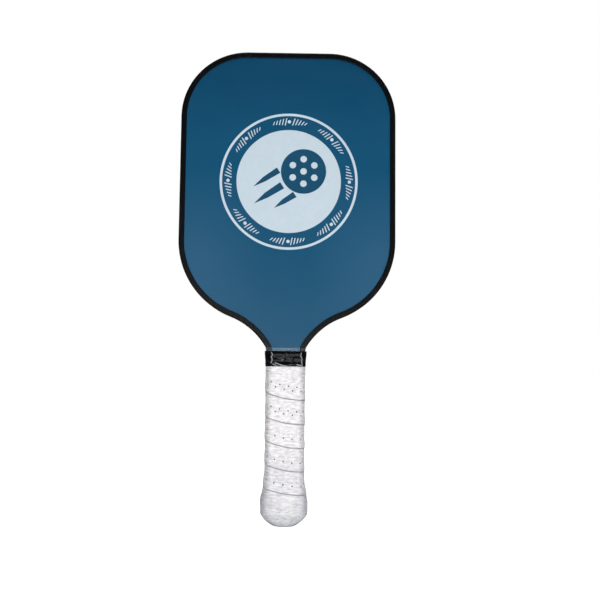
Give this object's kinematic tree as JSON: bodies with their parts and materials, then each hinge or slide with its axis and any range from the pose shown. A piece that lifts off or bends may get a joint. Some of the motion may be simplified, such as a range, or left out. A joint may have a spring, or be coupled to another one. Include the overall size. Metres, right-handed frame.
{
  "type": "pickleball paddle",
  "caption": "Rounded-rectangle pickleball paddle: honeycomb core between two skins, black edge guard, flared handle wound in perforated white grip tape, black finishing tape.",
  "frame": {"origin": "centre of the butt end's flat, where the paddle would stand", "axes": "+Z from the butt end to the top of the head, +X to the right as seen from the front, front face looking along -Y"},
  "size_m": [0.1906, 0.0334, 0.4156],
  "materials": {
    "blue_skin": "satin",
    "core_plastic": "satin",
    "bond_film": "satin",
    "guard_black": "satin",
    "adhesive_tape": "matte",
    "pad_wood": "matte",
    "cap_white": "satin",
    "staple_steel": "satin",
    "felt": "matte",
    "white_grip": "gloss",
    "black_tape": "gloss",
    "clear_tape": "gloss",
    "pale_ink": "satin",
    "blue_ink": "satin"
  },
  "bodies": {
    "root": {"honeycomb_core": "core_plastic", "front_bond_film": "bond_film", "back_bond_film": "bond_film", "front_face": "blue_skin", "back_face": "blue_skin", "edge_guard": "guard_black", "edge_guard_tape": "adhesive_tape", "front_handle_pad": "pad_wood", "back_handle_pad": "pad_wood", "butt_cap": "cap_white", "butt_cap_staples": "staple_steel", "grip_cushion": "felt", "grip_staple": "staple_steel", "grip_tape": "white_grip", "finishing_tape": "black_tape", "clear_band": "clear_tape"}
  },
  "joints": []
}
